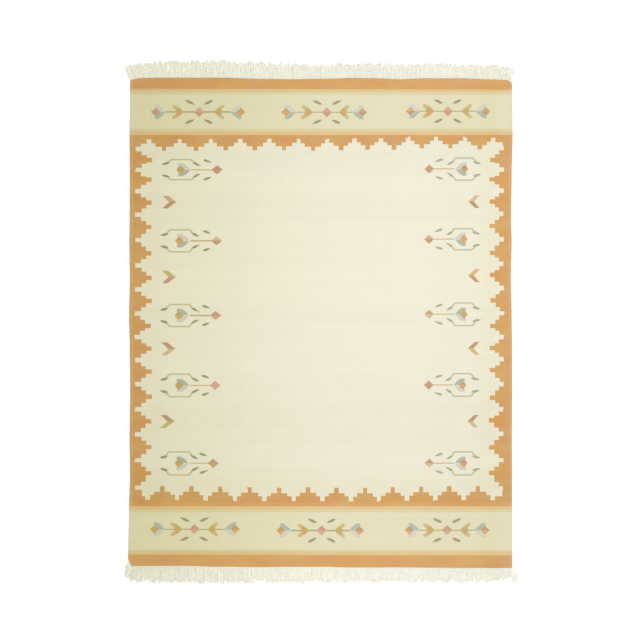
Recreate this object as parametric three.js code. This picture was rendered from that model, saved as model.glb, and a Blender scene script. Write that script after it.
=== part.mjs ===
// A flat-woven rug laid out flat, with a knotted warp fringe at each end.
// Millimetres. X runs across the rug, Y along it towards the far end, and Z is up.
// The whole underside lies in the plane Z = 0, and the origin is below the middle of the rug.

import * as THREE from "three";

// Woven cloth
const CLOTH_WIDTH = 2440;
const CLOTH_LENGTH = 3110;
const CLOTH_THICKNESS = 4;

// Slow swells of the upper face, each a wave across times a wave along the rug
const SWELLS = [
  { height: 0.7, acrossWave: 1570, alongWave: 1950, phase: 0.9 },
  { height: 0.4, acrossWave: 710, alongWave: 880, phase: 2.2 },
];

// Selvedge: two warp cords lie side by side along each long edge
const SELVEDGE_CORDS = 2;
const SELVEDGE_CORD = 10; // width of one cord
const SELVEDGE_RISE = 0.9; // height of a cord's crown above the cloth

// Outward drift of the two long edges from straight, at stations along the rug
const SIDE_DRIFT = [
  { along: -1555, left: 8, right: 5 },
  { along: -1430, left: 5, right: 6 },
  { along: -1200, left: 0, right: 5 },
  { along: -970, left: -6, right: 4 },
  { along: -740, left: -3, right: 3 },
  { along: -450, left: -7, right: 5 },
  { along: -130, left: -4, right: 4 },
  { along: 30, left: 0, right: 2 },
  { along: 290, left: -5, right: -3 },
  { along: 520, left: -2, right: 2 },
  { along: 640, left: -4, right: -2 },
  { along: 940, left: -5, right: 2 },
  { along: 1210, left: -3, right: 8 },
  { along: 1400, left: -7, right: 7 },
  { along: 1555, left: -5, right: 5 },
];

// Outward drift of the two fringed edges from straight, and the mean reach of the fringe there
const END_DRIFT = [
  { across: -1220, near: 1, far: -5, nearReach: 60, farReach: 84 },
  { across: -1165, near: 0, far: 2, nearReach: 102, farReach: 96 },
  { across: -1035, near: -1, far: 5, nearReach: 106, farReach: 104 },
  { across: -880, near: -1, far: 5, nearReach: 114, farReach: 112 },
  { across: -650, near: 4, far: 5, nearReach: 107, farReach: 112 },
  { across: -420, near: 7, far: -2, nearReach: 101, farReach: 110 },
  { across: -190, near: 5, far: -5, nearReach: 102, farReach: 104 },
  { across: 40, near: 4, far: -1, nearReach: 99, farReach: 92 },
  { across: 190, near: 9, far: 3, nearReach: 99, farReach: 100 },
  { across: 340, near: 9, far: 2, nearReach: 97, farReach: 102 },
  { across: 500, near: 8, far: -5, nearReach: 94, farReach: 98 },
  { across: 650, near: 10, far: 1, nearReach: 93, farReach: 95 },
  { across: 880, near: 12, far: 1, nearReach: 94, farReach: 95 },
  { across: 1110, near: 13, far: -7, nearReach: 92, farReach: 98 },
  { across: 1220, near: 13, far: -10, nearReach: 60, farReach: 86 },
];

// How far each corner is worn back across and along the rug, the distance over which that fades,
// and how far its outermost lock leans out sideways
const CORNERS = [
  { side: -1, end: -1, wornAcross: 24, wornAlong: 0, wornSpan: 46, lean: 46 },
  { side: 1, end: -1, wornAcross: 0, wornAlong: 0, wornSpan: 30, lean: 44 },
  { side: -1, end: 1, wornAcross: 3, wornAlong: 5, wornSpan: 60, lean: 38 },
  { side: 1, end: 1, wornAcross: 8, wornAlong: 12, wornSpan: 34, lean: 34 },
];
const LEAN_SPAN = 110; // locks lean out over this distance from a corner

// Fringe
const LOCKS_PER_END = 148;
const FRINGE_GAP = 0.35; // clearance between the cloth's edge and the strip of knots
const STRIP_DEPTH = 12; // the strip of knots, measured along the rug
const STRIP_HEIGHT = 3.2;
const REACH_JITTER = 9; // a lock is up to this much longer or shorter than the mean
const TIP_JITTER = 2.4; // its own sideways drift at the tip
const SWAY = 10; // sideways drift of whole groups of locks, at the tip
const SWAY_WAVES = [
  { length: 597, share: 0.6, phase: 0.8 },
  { length: 233, share: 0.4, phase: 2.1 },
];

// Where each kind of scatter starts in the run of repeatable random numbers
const SEEDS = { farDrift: 1000, nearDrift: 2000, farReach: 3000, nearReach: 4000 };

// A lock's cross sections from root to tip: `crown` is the width of its top over that of its base
const LOCK_SECTIONS = [
  { along: 0, width: 12.6, height: STRIP_HEIGHT, crown: 1 },
  { along: 0.3, width: 13.4, height: 3.2, crown: 0.6 },
  { along: 0.66, width: 12, height: 2.6, crown: 0.55 },
  { along: 1, width: 6.5, height: 1.4, crown: 0.5 },
];

// Grid of the upper face: stations measured in from an edge, then even cells between them
const SIDE_STATIONS = [0, 0.5, 1, 1.5, 2, 4, 6].map((cords) => cords * SELVEDGE_CORD);
const END_STATIONS = [0, 20, 40, 60];
const CELLS_ACROSS = 14;
const CELLS_ALONG = 22;

// Value of one column of a table at a position, easing smoothly from row to row
function columnAt(rows, positionColumn, valueColumn, position) {
  const last = rows.length - 1;
  const next = rows.findIndex((row) => row[positionColumn] > position);
  const upper = rows[next < 0 ? last : Math.max(next, 1)];
  const lower = rows[next < 0 ? last - 1 : Math.max(next, 1) - 1];
  const ease = THREE.MathUtils.smoothstep(position, lower[positionColumn], upper[positionColumn]);
  return THREE.MathUtils.lerp(lower[valueColumn], upper[valueColumn], ease);
}

// A point of the cloth in plan. `across` and `along` run from -1 to 1 between opposite edges.
function clothPoint(across, along) {
  const straightX = (across * CLOTH_WIDTH) / 2;
  const straightY = (along * CLOTH_LENGTH) / 2;
  const left = columnAt(SIDE_DRIFT, "along", "left", straightY);
  const right = columnAt(SIDE_DRIFT, "along", "right", straightY);
  const near = columnAt(END_DRIFT, "across", "near", straightX);
  const far = columnAt(END_DRIFT, "across", "far", straightX);
  const point = new THREE.Vector2(
    straightX + THREE.MathUtils.lerp(-left, right, (across + 1) / 2),
    straightY + THREE.MathUtils.lerp(-near, far, (along + 1) / 2),
  );
  for (const { side, end, wornAcross, wornAlong, wornSpan } of CORNERS) {
    const fromSide = ((1 - side * across) * CLOTH_WIDTH) / 2;
    const fromEnd = ((1 - end * along) * CLOTH_LENGTH) / 2;
    const wear = closeness(fromSide, wornSpan) * closeness(fromEnd, wornSpan);
    point.x -= side * wornAcross * wear;
    point.y -= end * wornAlong * wear;
  }
  return point;
}

// 1 at no distance, falling to 0 at the span
function closeness(distance, span) {
  return Math.max(0, 1 - distance / span);
}

// Height of the upper face: cloth, slow swells and the crowns of the selvedge cords
function upperHeight(point, fromSide) {
  let height = CLOTH_THICKNESS;
  for (const { height: rise, acrossWave, alongWave, phase } of SWELLS) {
    height += rise * wave(point.x, acrossWave, phase) * wave(point.y, alongWave, 0);
  }
  if (fromSide < SELVEDGE_CORDS * SELVEDGE_CORD) {
    height += SELVEDGE_RISE * Math.abs(Math.sin((fromSide / SELVEDGE_CORD) * Math.PI));
  }
  return height;
}

// A sine of the given wavelength
function wave(position, length, phase) {
  return Math.sin((2 * Math.PI * position) / length + phase);
}

// Stations from -1 to 1 across a span: the listed ones near both edges and even ones between
function stations(edgeStations, cells, span) {
  const nearEdge = edgeStations.map((distance) => (2 * distance) / span - 1);
  const start = nearEdge.at(-1);
  const even = [];
  for (let cell = 1; cell < cells; cell += 1) {
    even.push(THREE.MathUtils.lerp(start, -start, cell / cells));
  }
  const farEdge = nearEdge.map((station) => -station).reverse();
  return [...nearEdge, ...even, ...farEdge];
}

// Closed surface from a list of corner points and a list of triangles
function surface(points, triangles) {
  const geometry = new THREE.BufferGeometry();
  geometry.setAttribute("position", new THREE.Float32BufferAttribute(points.flat(), 3));
  geometry.setIndex(triangles.flat());
  geometry.computeVertexNormals();
  return geometry;
}

// The two triangles of a quad whose corners run counter-clockwise seen from outside
function quad(a, b, c, d) {
  return [
    [a, b, c],
    [a, c, d],
  ];
}

const ACROSS = stations(SIDE_STATIONS, CELLS_ACROSS, CLOTH_WIDTH);
const ALONG = stations(END_STATIONS, CELLS_ALONG, CLOTH_LENGTH);

// The cloth: an uneven upper face, a wall all round and a flat underside
function clothGeometry() {
  const points = [];
  const triangles = [];
  for (const along of ALONG) {
    for (const across of ACROSS) {
      const plan = clothPoint(across, along);
      const fromSide = ((1 - Math.abs(across)) * CLOTH_WIDTH) / 2;
      points.push([plan.x, plan.y, upperHeight(plan, fromSide)]);
    }
  }
  const columns = ACROSS.length;
  const rows = ALONG.length;
  const at = (row, column) => row * columns + column;
  for (let row = 1; row < rows; row += 1) {
    for (let column = 1; column < columns; column += 1) {
      const corner = at(row, column);
      triangles.push(...quad(corner - columns - 1, corner - columns, corner, corner - 1));
    }
  }

  const rim = [];
  for (let column = 0; column < columns - 1; column += 1) rim.push(at(0, column));
  for (let row = 0; row < rows - 1; row += 1) rim.push(at(row, columns - 1));
  for (let column = columns - 1; column > 0; column -= 1) rim.push(at(rows - 1, column));
  for (let row = rows - 1; row > 0; row -= 1) rim.push(at(row, 0));
  const underside = points.length;
  for (const corner of rim) points.push([points[corner][0], points[corner][1], 0]);
  rim.forEach((corner, index) => {
    const next = (index + 1) % rim.length;
    triangles.push(...quad(underside + index, underside + next, rim[next], corner));
  });
  const outline = rim.map((corner) => new THREE.Vector2(points[corner][0], points[corner][1]));
  for (const [a, b, c] of THREE.ShapeUtils.triangulateShape(outline, [])) {
    triangles.push([underside + a, underside + c, underside + b]);
  }
  return surface(points, triangles);
}

// Repeatable scatter from -1 to 1 for a numbered lock
function scatter(number, seed) {
  return 2 * THREE.MathUtils.seededRandom(seed + number) - 1;
}

// Sideways drift at the tip of a lock rooted at x
function tipDrift(x, end, number) {
  let drift = TIP_JITTER * scatter(number, end > 0 ? SEEDS.farDrift : SEEDS.nearDrift);
  for (const { length, share, phase } of SWAY_WAVES) {
    drift += SWAY * share * wave(x, length, phase * end);
  }
  for (const corner of CORNERS.filter((one) => one.end === end)) {
    const distance = CLOTH_WIDTH / 2 - corner.side * x;
    const pull = closeness(distance, LEAN_SPAN);
    drift = THREE.MathUtils.lerp(drift, corner.side * corner.lean, pull);
  }
  return drift;
}

// One end's fringe: a low strip of knots along the cloth's edge, with a lock growing out of it
// at every pitch. `end` is 1 for the far end and -1 for the near end.
function fringeGeometry(end) {
  const reachColumn = end > 0 ? "farReach" : "nearReach";
  const reachSeed = end > 0 ? SEEDS.farReach : SEEDS.nearReach;
  const edge = ACROSS.map((across) => clothPoint(across, end));
  const edgeRows = edge.map((point) => ({ x: point.x, y: point.y + end * FRINGE_GAP }));
  const edgeY = (x) => {
    const next = Math.max(1, edgeRows.findIndex((row) => row.x >= x));
    const lower = edgeRows[next - 1];
    const upper = edgeRows[next];
    return THREE.MathUtils.mapLinear(x, lower.x, upper.x, lower.y, upper.y);
  };

  const points = [];
  const triangles = [];
  const flip = end < 0;
  const addQuad = (a, b, c, d) => triangles.push(...(flip ? quad(d, c, b, a) : quad(a, b, c, d)));

  // Corner points of the strip in plan, as pairs one above the other: first the underside
  const plan = [];
  const addPair = (x, y) => {
    plan.push(new THREE.Vector2(x, y));
    points.push([x, y, 0], [x, y, STRIP_HEIGHT]);
    return points.length - 2;
  };
  const inner = edgeRows.map((row) => addPair(row.x, row.y));

  const start = edgeRows[0].x;
  const finish = edgeRows.at(-1).x;
  const pitch = (finish - start) / LOCKS_PER_END;
  const roots = [];
  for (let number = LOCKS_PER_END - 1; number >= 0; number -= 1) {
    const x = start + (number + 0.5) * pitch;
    const half = LOCK_SECTIONS[0].width / 2;
    const right = addPair(x + half, edgeY(x + half) + end * STRIP_DEPTH);
    const left = addPair(x - half, edgeY(x - half) + end * STRIP_DEPTH);
    roots.push({ number, x, left, right });
  }

  // Walls: along the cloth, at both ends of the strip, and between neighbouring locks
  for (let index = 1; index < inner.length; index += 1) {
    addQuad(inner[index - 1], inner[index], inner[index] + 1, inner[index - 1] + 1);
  }
  addQuad(inner.at(-1), roots[0].right, roots[0].right + 1, inner.at(-1) + 1);
  for (let index = 1; index < roots.length; index += 1) {
    const from = roots[index - 1].left;
    const to = roots[index].right;
    addQuad(from, to, to + 1, from + 1);
  }
  const lastLeft = roots.at(-1).left;
  addQuad(lastLeft, inner[0], inner[0] + 1, lastLeft + 1);

  // Upper face and underside of the strip: its outline, triangulated once and used for both
  for (const [a, b, c] of THREE.ShapeUtils.triangulateShape(plan, [])) {
    triangles.push([2 * a + 1, 2 * b + 1, 2 * c + 1], [2 * a, 2 * c, 2 * b]);
  }

  for (const root of roots) addLock(root);

  // Loft a lock's four sides from its root in the strip's wall to its tip
  function addLock({ number, x, left, right }) {
    const rootY = edgeY(x) + end * STRIP_DEPTH;
    const mean = columnAt(END_DRIFT, "across", reachColumn, x);
    const reach = mean - STRIP_DEPTH + REACH_JITTER * scatter(number, reachSeed);
    const drift = tipDrift(x, end, number);
    let previous = [left, right, right + 1, left + 1];
    for (const { along, width, height, crown } of LOCK_SECTIONS.slice(1)) {
      const middle = x + drift * along * along;
      const y = rootY + end * reach * along;
      const base = width / 2;
      const top = base * crown;
      const section = points.length;
      points.push([middle - base, y, 0], [middle + base, y, 0]);
      points.push([middle + top, y, height], [middle - top, y, height]);
      const ring = [section, section + 1, section + 2, section + 3];
      for (let side = 0; side < 4; side += 1) {
        const next = (side + 1) % 4;
        addQuad(previous[next], previous[side], ring[side], ring[next]);
      }
      previous = ring;
    }
    addQuad(previous[1], previous[0], previous[3], previous[2]);
  }

  return surface(points, triangles);
}

const rug = new THREE.Group();

const cloth = new THREE.Mesh(
  clothGeometry(),
  new THREE.MeshStandardMaterial({ color: 0xeee9d2, roughness: 0.95, metalness: 0 }),
);
cloth.name = "woven_rug";
rug.add(cloth);

for (const { name, end } of [
  { name: "fringe_far_end", end: 1 },
  { name: "fringe_near_end", end: -1 },
]) {
  const fringe = new THREE.Mesh(
    fringeGeometry(end),
    new THREE.MeshStandardMaterial({ color: 0xefece0, roughness: 0.9, metalness: 0 }),
  );
  fringe.name = name;
  rug.add(fringe);
}

// The origin is below the middle of the whole rug, fringes included
const middle = new THREE.Box3().setFromObject(rug).getCenter(new THREE.Vector3());
rug.position.set(-middle.x, -middle.y, 0);

export default rug;
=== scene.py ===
# %% [markdown]
# # A flat-woven rug, laid out flat
#
# The real object is one piece of wool cloth about 2.4 m wide and 3.1 m long, with its coloured
# yarns woven in, not printed on, and a cotton fringe at both ends.
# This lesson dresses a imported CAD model, so every size is in metres in the CAD model's own frame:
# X runs across the rug, Y along it towards the far end, and Z is up.

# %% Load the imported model
import math

import bpy
import numpy as np
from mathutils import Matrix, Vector
from mathutils.geometry import delaunay_2d_cdt


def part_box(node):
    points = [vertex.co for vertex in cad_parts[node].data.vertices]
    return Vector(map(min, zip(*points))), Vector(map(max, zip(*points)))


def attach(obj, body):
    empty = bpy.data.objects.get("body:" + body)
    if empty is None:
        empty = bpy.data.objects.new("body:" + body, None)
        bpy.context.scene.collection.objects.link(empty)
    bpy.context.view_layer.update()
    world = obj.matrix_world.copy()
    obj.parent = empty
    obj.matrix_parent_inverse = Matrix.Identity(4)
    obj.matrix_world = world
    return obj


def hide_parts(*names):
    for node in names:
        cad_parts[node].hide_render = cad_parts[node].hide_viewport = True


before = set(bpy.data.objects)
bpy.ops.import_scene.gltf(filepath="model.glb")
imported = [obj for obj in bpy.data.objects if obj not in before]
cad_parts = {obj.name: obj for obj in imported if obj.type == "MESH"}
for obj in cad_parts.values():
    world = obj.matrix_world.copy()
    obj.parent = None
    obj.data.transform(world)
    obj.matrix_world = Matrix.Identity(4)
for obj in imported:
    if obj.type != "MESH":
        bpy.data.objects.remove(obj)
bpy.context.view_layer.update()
MM = 0.001
scene = bpy.context.scene
scene.view_settings.view_transform = "Standard"
print("CAD nodes:", sorted(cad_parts))

# %% [markdown]
# ## The outline of the cloth
#
# Handwoven cloth is never a true rectangle: the sides wander by a few millimetres, the ends bow,
# and the corners wear round. The shape could be drawn as one curve, but then the pattern inside it
# would not know how to follow. Here one rule moves any point of a true rectangle to its place on
# the real rug, so outline, stripes and motifs all drift together. Along the rim it is the rule of
# the CAD model, so the two outlines agree.

# %% Sizes and drift of the cloth, in millimetres
CLOTH_WIDTH = 2440
CLOTH_LENGTH = 3110
CLOTH_THICKNESS = 4
HALF_WIDTH, HALF_LENGTH = CLOTH_WIDTH / 2, CLOTH_LENGTH / 2

# Outward drift of the long edges: along, left, right
SIDE_DRIFT = np.array([
    (-1555, 8, 5), (-1430, 5, 6), (-1200, 0, 5), (-970, -6, 4), (-740, -3, 3),
    (-450, -7, 5), (-130, -4, 4), (30, 0, 2), (290, -5, -3), (520, -2, 2),
    (640, -4, -2), (940, -5, 2), (1210, -3, 8), (1400, -7, 7), (1555, -5, 5),
], float)

# Outward drift of the ends and mean reach of the fringe: across, near, far, near reach, far reach
END_DRIFT = np.array([
    (-1220, 1, -5, 60, 84), (-1165, 0, 2, 102, 96), (-1035, -1, 5, 106, 104),
    (-880, -1, 5, 114, 112), (-650, 4, 5, 107, 112), (-420, 7, -2, 101, 110),
    (-190, 5, -5, 102, 104), (40, 4, -1, 99, 92), (190, 9, 3, 99, 100), (340, 9, 2, 97, 102),
    (500, 8, -5, 94, 98), (650, 10, 1, 93, 95), (880, 12, 1, 94, 95), (1110, 13, -7, 92, 98),
    (1220, 13, -10, 60, 86),
], float)

END_FADE = 160  # the drift of an end fades out this far inside it

# Corners: side, end, how far worn back across and along, over what span, and how far the last
# lock of the fringe leans out
CORNERS = [
    (-1, -1, 24, 0, 46, 46), (1, -1, 0, 0, 30, 44), (-1, 1, 3, 5, 60, 38), (1, 1, 8, 12, 34, 34),
]
print("cloth", CLOTH_WIDTH, "x", CLOTH_LENGTH, "x", CLOTH_THICKNESS, "mm, worn at its corners")


# %% Move points of the true rectangle to the real cloth
def eased(table, column, place):
    """One column of a table at the given places, easing smoothly from row to row."""
    rows = table[:, 0]
    place = np.asarray(place, float)
    upper = np.clip(np.searchsorted(rows, place, side="right"), 1, len(rows) - 1)
    share = np.clip((place - rows[upper - 1]) / (rows[upper] - rows[upper - 1]), 0, 1)
    share = share * share * (3 - 2 * share)
    values = table[:, column]
    return values[upper - 1] + (values[upper] - values[upper - 1]) * share


def closeness(distance, span):
    """1 at no distance, falling to 0 at the span."""
    return np.maximum(0, 1 - distance / span)


def cloth_plan(points):
    """Plan of the real cloth, in millimetres, for points of the true rectangle."""
    x, y = np.asarray(points, float).T
    left, right = eased(SIDE_DRIFT, 1, y), eased(SIDE_DRIFT, 2, y)
    near, far = eased(END_DRIFT, 1, x), eased(END_DRIFT, 2, x)
    across = (x / HALF_WIDTH + 1) / 2
    real_x = x - left * (1 - across) + right * across
    real_y = (y - near * closeness(HALF_LENGTH + y, END_FADE)
              + far * closeness(HALF_LENGTH - y, END_FADE))
    for side, end, worn_across, worn_along, span, _ in CORNERS:
        wear = closeness(HALF_WIDTH - side * x, span) * closeness(HALF_LENGTH - end * y, span)
        real_x, real_y = real_x - side * worn_across * wear, real_y - end * worn_along * wear
    return np.column_stack([real_x, real_y])


# %% Move measured places back to the true rectangle
def true_place(x, y):
    """The point of the true rectangle that lies at a measured place of the real rug."""
    place = np.array([(x, y)], float)
    for _ in range(4):  # each round takes away most of the miss that is left
        place += (x, y) - cloth_plan(place)[0]
    return place[0]


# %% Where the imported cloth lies
# The CAD model is centred on its own box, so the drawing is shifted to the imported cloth's place
RIM_POINTS = 240
along_sides = np.linspace(-HALF_LENGTH, HALF_LENGTH, RIM_POINTS)
across_ends = np.linspace(-HALF_WIDTH, HALF_WIDTH, RIM_POINTS)
rim = cloth_plan([(side * HALF_WIDTH, y) for side in (-1, 1) for y in along_sides]
                 + [(x, end * HALF_LENGTH) for end in (-1, 1) for x in across_ends])
low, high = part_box("woven_rug")
SHIFT = np.array([(low.x + high.x) / 2, (low.y + high.y) / 2]) / MM - (rim.min(0) + rim.max(0)) / 2
print("the drawing is shifted by", SHIFT.round(2), "mm")

# %% [markdown]
# The upper face is not quite level either: the cloth swells slowly here and there, and two cords
# stand up along each side. This too is the CAD model's rule. A noise texture could give the swells,
# but a sum of two waves is as gentle, and it gives the same height in both models.

# %% Height of the upper face
# Slow swells of the upper face: height, wave across, wave along, phase
SWELLS = [(0.7, 1570, 1950, 0.9), (0.4, 710, 880, 2.2)]
SELVEDGE_CORD = 10  # how broad one cord is
SELVEDGE_CORDS = 2
SELVEDGE_RISE = 0.9


def upper_height(points):
    """Height above the floor, in millimetres, for points of the true rectangle."""
    x, y = cloth_plan(points).T
    height = np.full(len(x), float(CLOTH_THICKNESS))
    for rise, wave_across, wave_along, phase in SWELLS:
        across = np.sin(2 * math.pi * x / wave_across + phase)
        height += rise * across * np.sin(2 * math.pi * y / wave_along)
    from_side = HALF_WIDTH - np.abs(np.asarray(points, float)[:, 0])
    crown = SELVEDGE_RISE * np.abs(np.sin(from_side / SELVEDGE_CORD * math.pi))
    return height + np.where(from_side < SELVEDGE_CORD * SELVEDGE_CORDS, crown, 0)


print("height in the middle", upper_height([(0, 0)]).round(2), "mm")

# %% [markdown]
# ## Where the camera and the lights go
#
# The rug is seen from straight above with its sides square to the view. A long lens, far up, keeps
# the parallels parallel. One lamp hangs overhead, right of the middle, and one stands beyond the
# right side, so the left side is a little dimmer, as in a studio. The rest of the light comes
# evenly from all round.

# %% Camera
FRAME_WIDTH = 640  # the photograph's width in pixels
PIXEL = 6.384  # what one of them shows at the floor, in millimetres
AIM = (-1.9, 14.4)  # the point of the drawing below the camera, in millimetres
LENS, SENSOR, CLIP_END = 100, 36, 100

camera = bpy.data.objects.new("camera", bpy.data.cameras.new("camera"))
scene.collection.objects.link(camera)
camera.data.lens, camera.data.sensor_width, camera.data.clip_end = LENS, SENSOR, CLIP_END
camera_height = FRAME_WIDTH * PIXEL * MM * LENS / SENSOR
camera.location = ((SHIFT[0] + AIM[0]) * MM, (SHIFT[1] + AIM[1]) * MM, camera_height)
scene.camera = camera
print("camera height", round(camera.location.z, 2), "m")


# %% Floor
def new_material(name):
    """A new material, its node tree and its shader."""
    material = bpy.data.materials.new(name)
    material.use_nodes = True
    return material, material.node_tree, material.node_tree.nodes["Principled BSDF"]


FLOOR_HALF = 12.0
SQUARE = ((-1, -1), (1, -1), (1, 1), (-1, 1))

floor_mesh = bpy.data.meshes.new("floor")
floor_mesh.from_pydata([(x * FLOOR_HALF, y * FLOOR_HALF, 0) for x, y in SQUARE], [], [(0, 1, 2, 3)])
floor = bpy.data.objects.new("floor", floor_mesh)
scene.collection.objects.link(floor)
floor_paint, _, shader = new_material("floor_paint")
shader.inputs["Base Color"].default_value = (0.97, 0.97, 0.965, 1)
shader.inputs["Roughness"].default_value = 0.95
floor_mesh.materials.append(floor_paint)
print("floor", 2 * FLOOR_HALF, "m square")

# %% Lights
scene.world = bpy.data.worlds.new("studio")
scene.world.use_nodes = True
scene.world.node_tree.nodes["Background"].inputs["Color"].default_value = (1.0, 1.0, 1.0, 1)
scene.world.node_tree.nodes["Background"].inputs["Strength"].default_value = 0.82


def add_lamp(name, place, aim, size, power):
    """A rectangular lamp that faces the point it is aimed at."""
    lamp = bpy.data.objects.new(name, bpy.data.lights.new(name, "AREA"))
    lamp.data.shape, lamp.data.energy = "RECTANGLE", power
    lamp.data.size, lamp.data.size_y = size
    lamp.location = place
    lamp.rotation_euler = (Vector(aim) - Vector(place)).to_track_quat("-Z", "Y").to_euler()
    scene.collection.objects.link(lamp)


add_lamp("overhead_lamp", place=(0.9, 0.0, 6.5), aim=(0.9, 0.0, 0), size=(2.0, 5.0), power=178)
add_lamp("side_lamp", place=(6.0, 3.0, 4.0), aim=(0, 0, 0), size=(1.5, 1.5), power=160)

# %% [markdown]
# ## The pattern as it is woven
#
# The coloured shapes are areas of dyed weft. Each weft row passes round whole warps, so every
# slanting edge is really a flight of small steps, one warp wide. The pattern could be an image, but
# it would blur close up. Here each shape is charted as a small polygon, turned into steps on the
# warp and weft counts, and cut into the cloth's mesh, so that the colour changes exactly where the
# yarns do. A later shape lies on top of an earlier one.

# %% Warp and weft counts, and the dyed yarns
WARPS = 580  # ribs across the cloth
WEFT_ROWS = 972  # charted rows along it
RIB = CLOTH_WIDTH / WARPS
ROW = CLOTH_LENGTH / WEFT_ROWS

# sRGB colour of each yarn, and how lively its dye is (undyed wool 0, strong dye 1)
YARNS = {
    "field": ((241, 236, 215), 0.0), "panel": ((229, 223, 188), 0.15),
    "sand": ((225, 210, 165), 0.3), "gold": ((226, 199, 145), 0.5),
    "orange": ((217, 166, 104), 1.0), "leaf": ((158, 160, 124), 0.4),
    "sage": ((178, 179, 147), 0.4), "outline": ((200, 196, 164), 0.2),
    "stem": ((176, 173, 128), 0.3), "coral": ((204, 160, 132), 0.9),
    "pink": ((217, 173, 151), 0.6), "ochre": ((200, 174, 114), 0.9),
    "straw": ((212, 188, 126), 0.6), "apricot": ((220, 170, 114), 0.9),
    "olive": ((200, 184, 126), 0.3), "blue": ((182, 189, 172), 0.3),
    "mist": ((214, 211, 197), 0.2), "tan": ((213, 194, 158), 0.4),
    "brown": ((196, 158, 120), 0.8),
}
print(f"one rib is {RIB:.2f} mm wide and one charted row {ROW:.2f} mm high")

# %% Stripes at the two ends and down the sides, in millimetres
PAST_SIDE, PAST_END = 1300, 1700  # areas drawn out to here are cut off at the cloth's rim

# Each stripe: yarn, from, to
END_STRIPES = [
    ("orange", 1491, PAST_END), ("gold", 1474, 1491), ("sand", 1456, 1474), ("panel", 1235, 1456),
    ("sand", 1220, 1235), ("gold", 1198, 1220), ("orange", 1186, 1198),
    ("orange", -1174, -1160), ("gold", -1196, -1174), ("sand", -1212, -1196),
    ("panel", -1449, -1212), ("sand", -1460, -1449), ("gold", -1483, -1460),
    ("orange", -PAST_END, -1483),
]
SIDE_STRIPES = [("orange", -PAST_SIDE, -1190), ("orange", 1180, PAST_SIDE)]
SIDE_SPAN = (-1174, 1198)


def block(x0, y0, x1, y1):
    """Corners of a rectangle."""
    return [(x0, y0), (x1, y0), (x1, y1), (x0, y1)]


pattern = [("field", block(-PAST_SIDE, -PAST_END, PAST_SIDE, PAST_END))]
pattern += [(yarn, block(-PAST_SIDE, start, PAST_SIDE, end)) for yarn, start, end in END_STRIPES]
pattern += [(yarn, block(start, SIDE_SPAN[0], end, SIDE_SPAN[1]))
            for yarn, start, end in SIDE_STRIPES]
print(len(pattern), "areas so far")

# %% [markdown]
# The orange border has a row of stepped teeth along its inner side, each of two steps and a small
# knob. One tooth could be copied along each side, but on the real rug they were counted out by eye,
# so no two are quite alike. The tables give the middle of every tooth and how far the weaver's line
# had wandered there.

# %% Stepped teeth
NOTCH_HALF, KNOB_HALF, STEP_RUN = 14, 14, 26

# Each row: the middle and the wander of every tooth, the first and last notch, then the lines where
# the stripe behind, the border, the first step, the second step and the knob end
TEETH_FAR = dict(
    teeth=[(-998, -1), (-794, -1), (-604, 2), (-419, 2), (-231, 2), (-46, -1), (133, 4), (303, 7),
           (470, 7), (647, 15), (830, 15), (1017, 10)],
    notches=(-1093, 1103), lines=(1198, 1168, 1143, 1121, 1094))
TEETH_NEAR = dict(
    teeth=[(-1007, 7), (-823, 6), (-639, 2), (-451, -1), (-262, -2), (-77, -1), (104, -2),
           (286, -4), (463, 1), (644, 2), (822, 6), (1006, 6)],
    notches=(-1103, 1101), lines=(-1174, -1141, -1109, -1088, -1053))
TEETH_LEFT = dict(
    teeth=[(-963, -4), (-797, -2), (-633, -4), (-475, -1), (-316, -2), (-168, -1), (-23, -7),
           (137, -2), (284, -1), (441, -2), (608, -2), (764, -1), (911, -1), (1034, 2)],
    notches=(-1056, 1105), lines=(-1200, -1180, -1141, -1110, -1075))
TEETH_RIGHT = dict(
    teeth=[(-961, -1), (-799, -1), (-626, -1), (-482, 2), (-306, 4), (-165, 1), (-23, 4),
           (138, 6), (302, 2), (443, 2), (614, 2), (770, 1), (912, 2), (1036, 4)],
    notches=(-1061, 1113), lines=(1200, 1168, 1139, 1112, 1079))


def teeth(row, upright):
    """Blocks of one row of teeth; an upright row runs along the rug."""
    middles, (first, last) = [middle for middle, _ in row["teeth"]], row["notches"]
    stripe, *lines = row["lines"]
    between = [(a + b) / 2 for a, b in zip(middles, middles[1:])]
    bounds = [first - NOTCH_HALF, *between, last + NOTCH_HALF]
    for (middle, wander), start, end in zip(row["teeth"], bounds, bounds[1:]):
        outer = (max(start, first) + NOTCH_HALF, min(end, last) - NOTCH_HALF)
        inner = (outer[0] + STEP_RUN, outer[1] - STEP_RUN)
        knob = (middle - KNOB_HALF, middle + KNOB_HALF)
        for (x0, x1), line in zip(((start, end), outer, inner, knob), lines):
            shape = block(x0, stripe, x1, line + wander)
            yield "orange", [true_place(y, x) if upright else true_place(x, y) for x, y in shape]


pattern += [*teeth(TEETH_FAR, False), *teeth(TEETH_NEAR, False)]
pattern += [*teeth(TEETH_LEFT, True), *teeth(TEETH_RIGHT, True)]
print(len(pattern), "areas with the teeth")

# %% Corners of the border
# Where the side border and the end border stop at each corner of the field
FIELD_CORNERS = [(-1145, 1139), (1163, 1150), (-1137, -1111), (1161, -1109)]

for x, y in FIELD_CORNERS:
    outer = math.copysign(PAST_SIDE, x), SIDE_SPAN[y > 0]
    end_row = TEETH_FAR if y > 0 else TEETH_NEAR
    side_row = TEETH_RIGHT if x > 0 else TEETH_LEFT
    notch_x = end_row["notches"][x > 0] + math.copysign(NOTCH_HALF, x)
    notch_y = side_row["notches"][y > 0] + math.copysign(NOTCH_HALF, y)
    for inner in ((notch_x, y), (x, notch_y)):
        pattern.append(("orange", block(*outer, *true_place(*inner))))
print(len(pattern), "areas with the border")

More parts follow.
